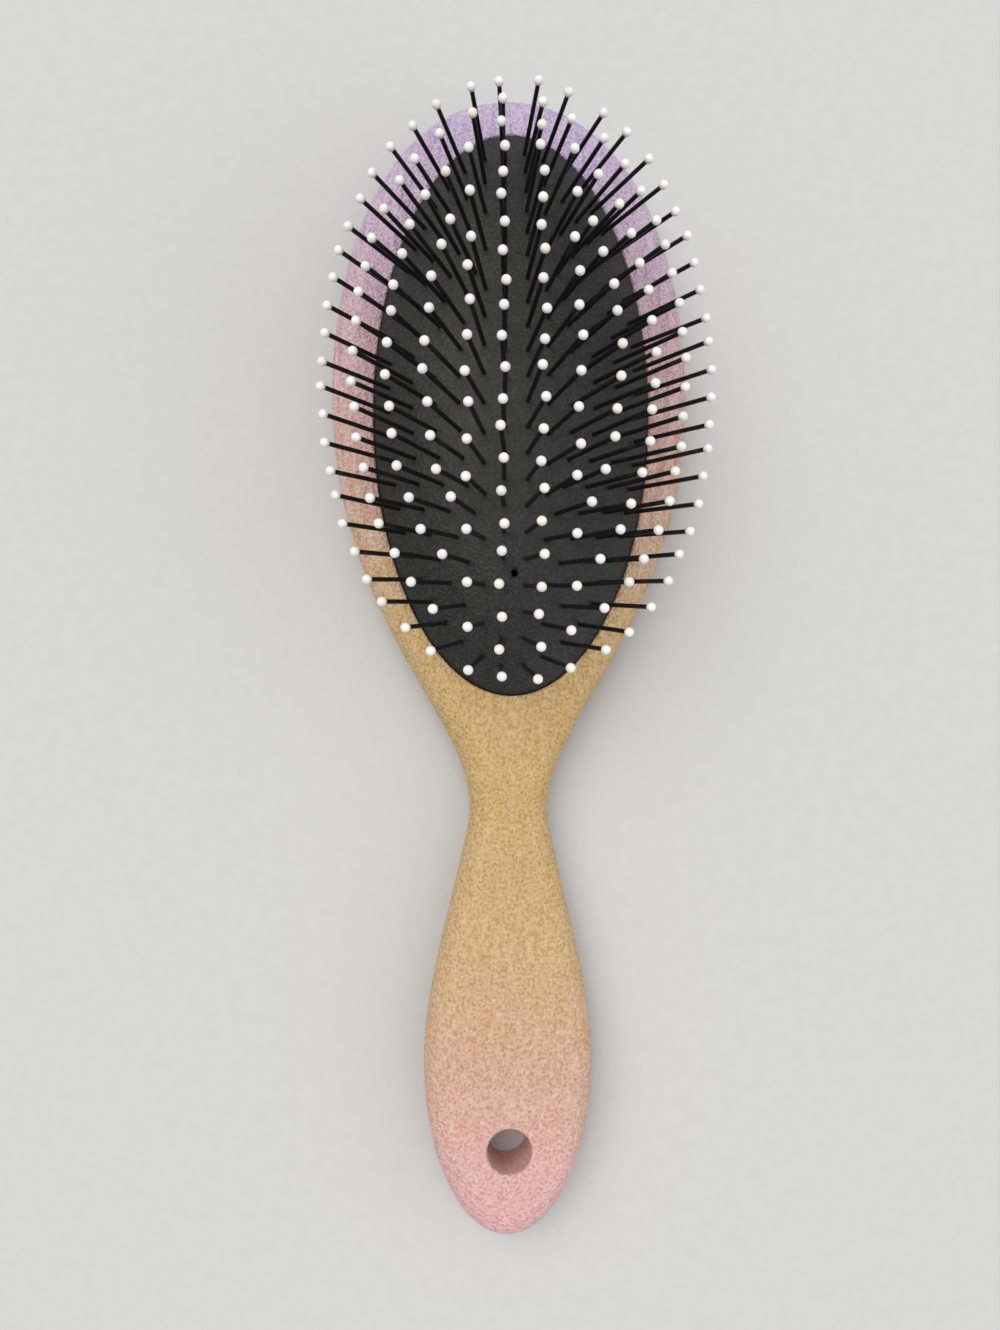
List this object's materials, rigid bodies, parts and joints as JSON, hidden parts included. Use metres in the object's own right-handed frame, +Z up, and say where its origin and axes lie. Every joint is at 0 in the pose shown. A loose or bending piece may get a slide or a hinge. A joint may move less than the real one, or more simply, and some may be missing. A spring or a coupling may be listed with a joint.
{
  "type": "detangling brush",
  "caption": "Oval cushion hair brush with a waisted handle and hang hole, a domed rubber cushion, and ball-tipped pins that sway and sink with the cushion.",
  "frame": {"origin": "on the surface that the brush lies on, under the middle of its length and width", "axes": "+Y along the brush towards the head, +Z up through the pins, +X across the brush"},
  "size_m": [0.0722, 0.222, 0.0425],
  "materials": {
    "body": "satin moulded plastic with a fine embossed grain, shading from lavender through pink and gold to pink",
    "carrier": "plain moulded plastic",
    "rubber": "matte black rubber",
    "pin": "black coated wire",
    "tip": "white dipped ball"
  },
  "bodies": {
    "handle": {"front_head_shell": "body", "front_grip_shell": "body", "back_head_shell": "body", "back_grip_shell": "body", "cushion_carrier": "carrier"},
    "cushion": {"rubber_cushion": "rubber"},
    "pin_column_left_0": {"pins_left_0": "pin", "tips_left_0": "tip"},
    "pin_column_left_1": {"pins_left_1": "pin", "tips_left_1": "tip"},
    "pin_column_left_2": {"pins_left_2": "pin", "tips_left_2": "tip"},
    "pin_column_left_3": {"pins_left_3": "pin", "tips_left_3": "tip"},
    "pin_column_left_4": {"pins_left_4": "pin", "tips_left_4": "tip"},
    "pin_column_left_5": {"pins_left_5": "pin", "tips_left_5": "tip"},
    "pin_column_right_0": {"pins_right_0": "pin", "tips_right_0": "tip"},
    "pin_column_right_1": {"pins_right_1": "pin", "tips_right_1": "tip"},
    "pin_column_right_2": {"pins_right_2": "pin", "tips_right_2": "tip"},
    "pin_column_right_3": {"pins_right_3": "pin", "tips_right_3": "tip"},
    "pin_column_right_4": {"pins_right_4": "pin", "tips_right_4": "tip"},
    "pin_column_right_5": {"pins_right_5": "pin", "tips_right_5": "tip"}
  },
  "joints": [
    {"name": "cushion_press", "type": "slide", "parent": "handle", "child": "cushion", "axis": [0, 0, -1], "range_m": [0, 0.003], "stiffness_N_per_m": 1500, "springref_m": -0.002, "deforming": ["rubber_cushion"]},
    {"name": "pin_sway_left_0", "type": "hinge", "parent": "cushion", "child": "pin_column_left_0", "pos_m": [-0.00214, 0.04585, 0.02118], "axis": [0, 1, 0], "range_deg": [-8, 8], "stiffness_Nm_per_rad": 0.05, "deforming": ["rubber_cushion"]},
    {"name": "pin_sway_left_1", "type": "hinge", "parent": "cushion", "child": "pin_column_left_1", "pos_m": [-0.00592, 0.04585, 0.02336], "axis": [0, 1, 0], "range_deg": [-8, 8], "stiffness_Nm_per_rad": 0.05, "deforming": ["rubber_cushion"]},
    {"name": "pin_sway_left_2", "type": "hinge", "parent": "cushion", "child": "pin_column_left_2", "pos_m": [-0.00888, 0.04585, 0.02228], "axis": [0, 1, 0], "range_deg": [-8, 8], "stiffness_Nm_per_rad": 0.05, "deforming": ["rubber_cushion"]},
    {"name": "pin_sway_left_3", "type": "hinge", "parent": "cushion", "child": "pin_column_left_3", "pos_m": [-0.01188, 0.04585, 0.02064], "axis": [0, 1, 0], "range_deg": [-8, 8], "stiffness_Nm_per_rad": 0.05, "deforming": ["rubber_cushion"]},
    {"name": "pin_sway_left_4", "type": "hinge", "parent": "cushion", "child": "pin_column_left_4", "pos_m": [-0.01492, 0.04585, 0.01844], "axis": [0, 1, 0], "range_deg": [-8, 8], "stiffness_Nm_per_rad": 0.05, "deforming": ["rubber_cushion"]},
    {"name": "pin_sway_left_5", "type": "hinge", "parent": "cushion", "child": "pin_column_left_5", "pos_m": [-0.01794, 0.04585, 0.01551], "axis": [0, 1, 0], "range_deg": [-8, 8], "stiffness_Nm_per_rad": 0.05, "deforming": ["rubber_cushion"]},
    {"name": "pin_sway_right_0", "type": "hinge", "parent": "cushion", "child": "pin_column_right_0", "pos_m": [0.00214, 0.04585, 0.02118], "axis": [0, 1, 0], "range_deg": [-8, 8], "stiffness_Nm_per_rad": 0.05, "deforming": ["rubber_cushion"]},
    {"name": "pin_sway_right_1", "type": "hinge", "parent": "cushion", "child": "pin_column_right_1", "pos_m": [0.00592, 0.04585, 0.02336], "axis": [0, 1, 0], "range_deg": [-8, 8], "stiffness_Nm_per_rad": 0.05, "deforming": ["rubber_cushion"]},
    {"name": "pin_sway_right_2", "type": "hinge", "parent": "cushion", "child": "pin_column_right_2", "pos_m": [0.00888, 0.04585, 0.02228], "axis": [0, 1, 0], "range_deg": [-8, 8], "stiffness_Nm_per_rad": 0.05, "deforming": ["rubber_cushion"]},
    {"name": "pin_sway_right_3", "type": "hinge", "parent": "cushion", "child": "pin_column_right_3", "pos_m": [0.01188, 0.04585, 0.02064], "axis": [0, 1, 0], "range_deg": [-8, 8], "stiffness_Nm_per_rad": 0.05, "deforming": ["rubber_cushion"]},
    {"name": "pin_sway_right_4", "type": "hinge", "parent": "cushion", "child": "pin_column_right_4", "pos_m": [0.01492, 0.04585, 0.01844], "axis": [0, 1, 0], "range_deg": [-8, 8], "stiffness_Nm_per_rad": 0.05, "deforming": ["rubber_cushion"]},
    {"name": "pin_sway_right_5", "type": "hinge", "parent": "cushion", "child": "pin_column_right_5", "pos_m": [0.01794, 0.04585, 0.01551], "axis": [0, 1, 0], "range_deg": [-8, 8], "stiffness_Nm_per_rad": 0.05, "deforming": ["rubber_cushion"]}
  ]
}
